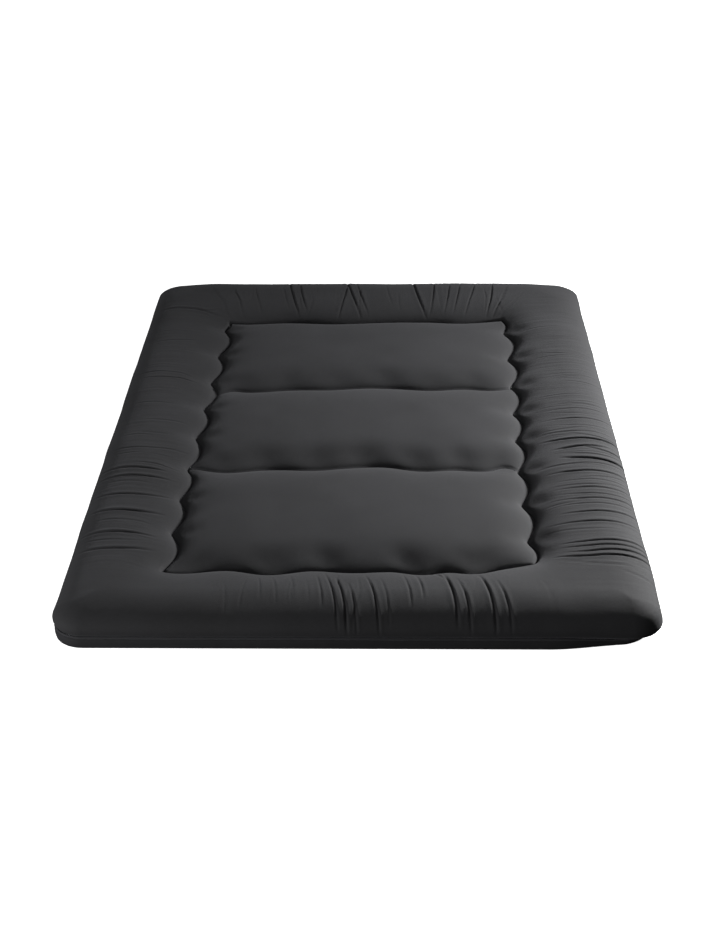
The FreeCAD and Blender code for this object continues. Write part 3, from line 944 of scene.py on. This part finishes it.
def build_fills():
    """Fibre under the border and panels, and the foam core under the field."""
    border, normal, full = border_surface(COARSE, FILL_SOFTNESS, False)
    lean = unit((full - LEAN_FROM) / LEAN_OVER)[:, :, None]
    border = border - FILL_BELOW_CLOTH * (normal * lean + np.array([0, 0, 1]) * (1 - lean))
    shrink = (BAND_X - 2 * BAND_INSET) / HALF_WIDTH
    border_floor = flattened(border, BAND_TOP + LAYER_GAP, shrink)
    panels = panel_surface(COARSE, 1, FILL_SOFTNESS)
    panels[..., 2] -= FILL_BELOW_CLOTH
    cells = tuple(size - 1 for size in panels.shape[:2])
    split = COARSE.split_j - COARSE.field_j[0]
    foam_top = GROOVE - FOAM_BELOW_CLOTH
    for half in HALF_BODIES:
        quads = grid_quads(ring_cells(COARSE, half))
        make_pad("border_fibre", half, border, border_floor, quads,
                 FIBRE, "border_fill", "fibre_fill")
        quads = grid_quads(half_cells(cells, half, split))
        make_pad("panel_fibre", half, panels, flattened(panels, foam_top, 1), quads,
                 FIBRE, "panel_fill", "fibre_fill")
        make_pad("foam_core", half, flattened(panels, foam_top - LAYER_GAP, 1),
                 flattened(panels, BAND_TOP + LAYER_GAP, 1), quads, FOAM, "core_foam", "foam")


def plate(inset, step):
    """Grid of a round-cornered plate this far inside the outline, and the faces of each half."""
    half_x = HALF_WIDTH - inset
    half_y = HALF_LENGTH - inset
    radius = CORNER_RADIUS - inset
    x = np.append(spaced(-half_x, half_x, step), half_x)
    y = np.concatenate([spaced(-half_y, SPLIT_Y, step), spaced(SPLIT_Y, half_y, step), [half_y]])
    split = int(np.abs(y - SPLIT_Y).argmin())
    shape = (len(x) - 1, len(y) - 1)
    faces = {half: grid_quads(half_cells(shape, half, split)) for half in HALF_BODIES}
    grid = np.meshgrid(x, y, indexing="ij")
    x, y, _ = round_corners(*grid, radius, lambda far: radius * far)
    return x, y, faces


def build_wadding():
    """Firm wadding over the whole plan, inside the side band."""
    x, y, faces = plate(WADDING_INSET, WADDING_STEP)
    lumps = uneven(x, y, WADDING_LUMPS)
    top = np.stack([x, y, BAND_TOP - LAYER_GAP + lumps - WADDING_SINK], 2)
    bottom = np.stack([x, y, np.full_like(x, BASE_PULL + WADDING_LIFT)], 2)
    for half, quads in faces.items():
        make_pad("wadding", half, top, bottom, quads, FIBRE, "lower_wadding", "fibre_fill")


def build_base():
    """Base cloth, flat on the floor but for the channels that the stitching pulls up."""
    x, y, faces = plate(BAND_INSET, BASE_STEP)
    pulled = sum(closeness(x, y, points, BASE_SOFTNESS) for points in seam_points())
    pulled = np.clip(pulled, 0, BASE_MOST)
    edge = np.minimum(HALF_WIDTH - np.abs(x), HALF_LENGTH - np.abs(y)) - BAND_INSET
    pulled = pulled * unit(edge / BASE_FADE)
    lifted = BASE_PULL * pulled / BASE_MOST
    under = np.stack([x, y, lifted], 2)
    over = np.stack([x, y, lifted + BASE_CLOTH - LAYER_GAP], 2)
    for half, quads in faces.items():
        top, used = compact(over, quads)
        bottom, _ = compact(under, quads)
        cloth = closed_pad(top, bottom, used)
        piece = half_piece("base_sheet", half, cloth, BASE_WITH_PAINTED_SHADE, "base_fabric", "base_cloth")


# ---------- edge band and piping
def outline(half, inset, step):
    """Points and outward directions round one half of the outline, cut edge to cut edge."""
    radius = CORNER_RADIUS - inset
    x = HALF_WIDTH - inset
    end = -1 if half == "foot" else 1
    side = -1 if half == "foot" else 1
    straight = end * CORE_Y - SPLIT_Y
    places = []
    normals = []

    def run(start, finish, normal):
        count = round(math.dist(start, finish) / step)
        for t in np.linspace(0, 1, count, endpoint=False):
            places.append([start[k] + (finish[k] - start[k]) * t for k in range(2)])
            normals.append(normal)

    def corner(centre, first):
        count = round(radius * math.pi / 2 / step)
        for angle in np.linspace(first, first + math.pi / 2, count, endpoint=False):
            normal = (math.cos(angle), math.sin(angle))
            places.append([centre[k] + radius * normal[k] for k in range(2)])
            normals.append(normal)

    run((side * x, SPLIT_Y), (side * x, SPLIT_Y + straight), (side, 0))
    corner((side * CORE_X, end * CORE_Y), math.pi if half == "foot" else 0)
    y = end * (HALF_LENGTH - inset)
    run((side * CORE_X, y), (-side * CORE_X, y), (0, end))
    corner((-side * CORE_X, end * CORE_Y), 1.5 * math.pi if half == "foot" else 0.5 * math.pi)
    run((-side * x, SPLIT_Y + straight), (-side * x, SPLIT_Y), (-side, 0))
    places.append([-side * x, SPLIT_Y])
    normals.append((-side, 0))
    return np.array(places), np.array(normals, float)


def swept(places, normals, section):
    """Closed solid whose section, (outwards, up) for each place, follows the outline."""
    count = section.shape[1]
    points = np.empty((len(places), count, 3))
    points[..., :2] = places[:, None, :] + normals[:, None, :] * section[..., :1]
    points[..., 2] = section[..., 1]
    index = np.arange(len(places) * count).reshape(len(places), count)
    following = np.roll(index, -1, axis=1)
    sides = np.stack([index[:-1], index[1:], following[1:], following[:-1]], 2).reshape(-1, 4)
    lid = [(k, k + 1, count - 2 - k, count - 1 - k) for k in range(count // 2 - 1)]
    start = np.array(lid)
    finish = start[:, ::-1] + (len(places) - 1) * count
    return points.reshape(-1, 3), np.concatenate([sides, start, finish])


def build_piping():
    """Cord in a bias-cut tube, sewn in between the band and the roll."""
    radius = (PIPING_TOP - BAND_TOP) / 2
    turn = np.arange(PIPING_SIDES) * 2 * math.pi / PIPING_SIDES
    for half in HALF_BODIES:
        places, normals = outline(half, PIPING_INSET, PIPING_STEP)
        run = run_along(places)
        zero = np.zeros_like(run)
        puff = 1 + uneven(run, zero, PIPING_PUFF)
        wander = uneven(run, zero, PIPING_WANDER)
        section = np.stack([
            radius * puff[:, None] * np.cos(turn) + wander[:, None],
            BAND_TOP + radius + radius * puff[:, None] * np.sin(turn) + wander[:, None],
        ], 2)
        tube = swept(places, normals, section)
        half_piece("piping", half, tube, PIPING, "piping_fabric", "piping")


def build_band():
    """Upright strip of base cloth, bulged a little by the wadding behind it."""
    levels = np.linspace(0, 1, BAND_LEVELS)
    height = BASE_CLOTH + (BAND_TOP - BASE_CLOTH) * levels
    for half in HALF_BODIES:
        places, normals = outline(half, BAND_INSET, BAND_STEP)
        run = run_along(places)
        swell = BAND_SWELL + uneven(run, np.zeros_like(run), BAND_RIPPLES)
        out = swell[:, None] * np.sin(math.pi * levels) ** BAND_SQUARENESS
        outer = np.stack([out, np.broadcast_to(height, out.shape)], 2)
        inner = outer[:, ::-1].copy()
        inner[..., 0] -= BAND_CLOTH
        section = np.concatenate([outer, inner], 1)[:, ::-1]
        strip = swept(places, normals, section)
        # the band takes the base cloth's colour, darkened as painted shade under the roll
        piece = half_piece("edge_band", half, strip, BASE_WITH_PAINTED_SHADE, "base_fabric", "side_band")


# ---------- stitching
def stitch_mesh():
    """One stitch along X."""
    scale = (STITCH_LENGTH, STITCH_RADIUS, STITCH_RADIUS)
    along, drop, width = (np.array(STITCH_SHAPE) * scale).T
    sides = STITCH_SIDES
    turn = np.arange(sides) * 2 * math.pi / sides
    points = np.stack([
        np.repeat(along, sides), (width[:, None] * np.cos(turn)).ravel(),
        (drop[:, None] + width[:, None] * np.sin(turn)).ravel(),
    ], 1)
    index = np.arange(len(points)).reshape(len(along), sides)
    following = np.roll(index, -1, axis=1)
    sides_quads = np.stack([index[:-1], following[:-1], following[1:], index[1:]], 2).reshape(-1, 4)
    lid = np.array([(0, 1, 2, 3), (0, 3, 4, 5)])
    last = lid + (len(along) - 1) * sides
    return points, np.concatenate([sides_quads, lid[:, ::-1], last])


def stitches_along(line):
    """Places and directions of the stitches along one seam."""
    run = run_along(line)
    at = np.arange(STITCH_PITCH, run[-1] - STITCH_PITCH, STITCH_PITCH)
    place = np.stack([np.interp(at, run, line[:, k]) for k in range(2)], 1)
    ahead = np.stack([np.interp(at + STITCH_LENGTH / 2, run, line[:, k]) for k in range(2)], 1)
    heading = ahead - place
    return place, heading / np.linalg.norm(heading, axis=1, keepdims=True)


def build_stitching():
    """Thread in the bottom of every groove, in two halves."""
    shape, quads = stitch_mesh()
    found = [stitches_along(line) for line in seam_points()]
    place = np.concatenate([pair[0] for pair in found])
    heading = np.concatenate([pair[1] for pair in found])
    for half in HALF_BODIES:
        mine = (place[:, 1] < SPLIT_Y) == (half == "foot")
        here, ahead = place[mine], heading[mine]
        points = np.empty((len(here), len(shape), 3))
        points[..., 0] = here[:, :1] + shape[:, 0] * ahead[:, :1] - shape[:, 1] * ahead[:, 1:]
        points[..., 1] = here[:, 1:] + shape[:, 0] * ahead[:, 1:] + shape[:, 1] * ahead[:, :1]
        points[..., 2] = GROOVE + STITCH_RADIUS + shape[:, 2]
        shifts = (np.arange(len(here)) * len(shape))[:, None, None]
        threads = points.reshape(-1, 3), (quads[None] + shifts).reshape(-1, 4)
        half_piece("stitching", half, threads, THREAD, "thread", "seam_stitching", "quilt_stitching")


def build_label():
    """Blank care label on the band at the head end."""
    low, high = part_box("care_label")
    u, v = np.meshgrid(*(np.linspace(0, 1, cells + 1) for cells in LABEL_CELLS), indexing="ij")
    wave = 1 - LABEL_WAVE + LABEL_WAVE * np.sin(LABEL_HALF_WAVES * math.pi * u)
    front = np.stack([
        high.x + (low.x - high.x) * u, high.y + LABEL_GAP + LABEL_CURL * (1 - v) ** 2 * wave,
        low.z + (high.z - low.z) * v,
    ], 2)
    back = front.copy()
    back[..., 1] -= high.y - low.y
    quads = grid_quads(np.ones(LABEL_CELLS, bool))
    piece = make_piece(
        "blank_label", *closed_pad(front.reshape(-1, 3), back.reshape(-1, 3), quads), LABEL
    )
    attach(piece, "head")
    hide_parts("care_label")


build_cover()
build_fills()
build_wadding()
build_base()
build_band()
build_piping()
build_stitching()
build_label()


# ---------- camera, lights
def look_camera():
    camera = bpy.data.objects.new("camera", bpy.data.cameras.new("camera"))
    camera.data.lens = CAMERA_LENS
    camera.data.sensor_width = CAMERA_SENSOR
    aim = Euler((math.radians(90 - CAMERA_DOWN), 0, math.radians(CAMERA_LEFT))).to_matrix()
    roll = Matrix.Rotation(math.radians(CAMERA_ROLL), 3, "Z")
    camera.matrix_world = Matrix.Translation(CAMERA_PLACE) @ (aim @ roll).to_4x4()
    bpy.context.scene.collection.objects.link(camera)
    bpy.context.scene.camera = camera


def add_lamp(name, light, place, target):
    """Puts a light at one place and turns it to another."""
    lamp = bpy.data.objects.new(name, light)
    lamp.location = place
    lamp.rotation_euler = (Vector(target) - Vector(place)).to_track_quat("-Z", "Y").to_euler()
    bpy.context.scene.collection.objects.link(lamp)
    return lamp


def area_light(name, place, target, size, power):
    """Rectangle of light that the camera doesn't see."""
    light = bpy.data.lights.new(name, "AREA")
    light.shape = "RECTANGLE"
    light.size, light.size_y = size
    light.energy = power
    add_lamp(name, light, place, target).visible_camera = False


def spot_light(name, place, target, cone, softness, power):
    """Soft spot that fades evenly from its centre to its edge."""
    light = bpy.data.lights.new(name, "SPOT")
    light.energy = power
    light.spot_size = math.radians(cone)
    light.spot_blend = 1.0
    light.shadow_soft_size = softness
    add_lamp(name, light, place, target)


def sky():
    """Even soft light from above that fades out at the horizon."""
    world = bpy.data.worlds.new("studio")
    world.use_nodes = True
    nodes = world.node_tree.nodes
    links = world.node_tree.links
    split = nodes.new("ShaderNodeSeparateXYZ")
    links.new(nodes.new("ShaderNodeTexCoord").outputs["Generated"], split.inputs["Vector"])
    ramp = set_inputs(nodes.new("ShaderNodeMapRange"), SKY_RAMP)
    links.new(split.outputs["Z"], ramp.inputs["Value"])
    links.new(ramp.outputs["Result"], nodes["Background"].inputs["Strength"])
    nodes["Background"].inputs["Color"].default_value = (1, 1, 1, 1)
    bpy.context.scene.world = world


def plain_surround(span):
    """White floor and far white walls that throw no light back on the object."""
    low = [(x, y, 0) for x, y in ((-span, -span), (span, -span), (span, span), (-span, span))]
    high = [(x, y, 2 * span) for x, y, _ in low]
    walls = [(k, (k + 1) % 4, (k + 1) % 4 + 4, k + 4) for k in range(4)]
    mesh = bpy.data.meshes.new("floor")
    mesh.from_pydata(low + high, [], [(0, 1, 2, 3)] + walls)
    material, _, shader = new_material("floor")
    set_inputs(shader, FLOOR_SHADER)
    mesh.materials.append(material)
    floor = bpy.data.objects.new("floor", mesh)
    floor.visible_diffuse = False
    floor.visible_glossy = False
    floor.visible_shadow = False
    bpy.context.scene.collection.objects.link(floor)


def studio():
    plain_surround(SPAN)
    sky()
    spot_light("key", place=(2.60, 1.60, 1.15), target=(1.60, -1.50, 0),
               cone=138, softness=0.25, power=1170)
    area_light("fill", place=(-2.3, -2.3, 0.45), target=(-0.75, -1.0, 0),
               size=(0.8, 0.4), power=52)
    bpy.context.scene.view_settings.view_transform = "Standard"


look_camera()
studio()
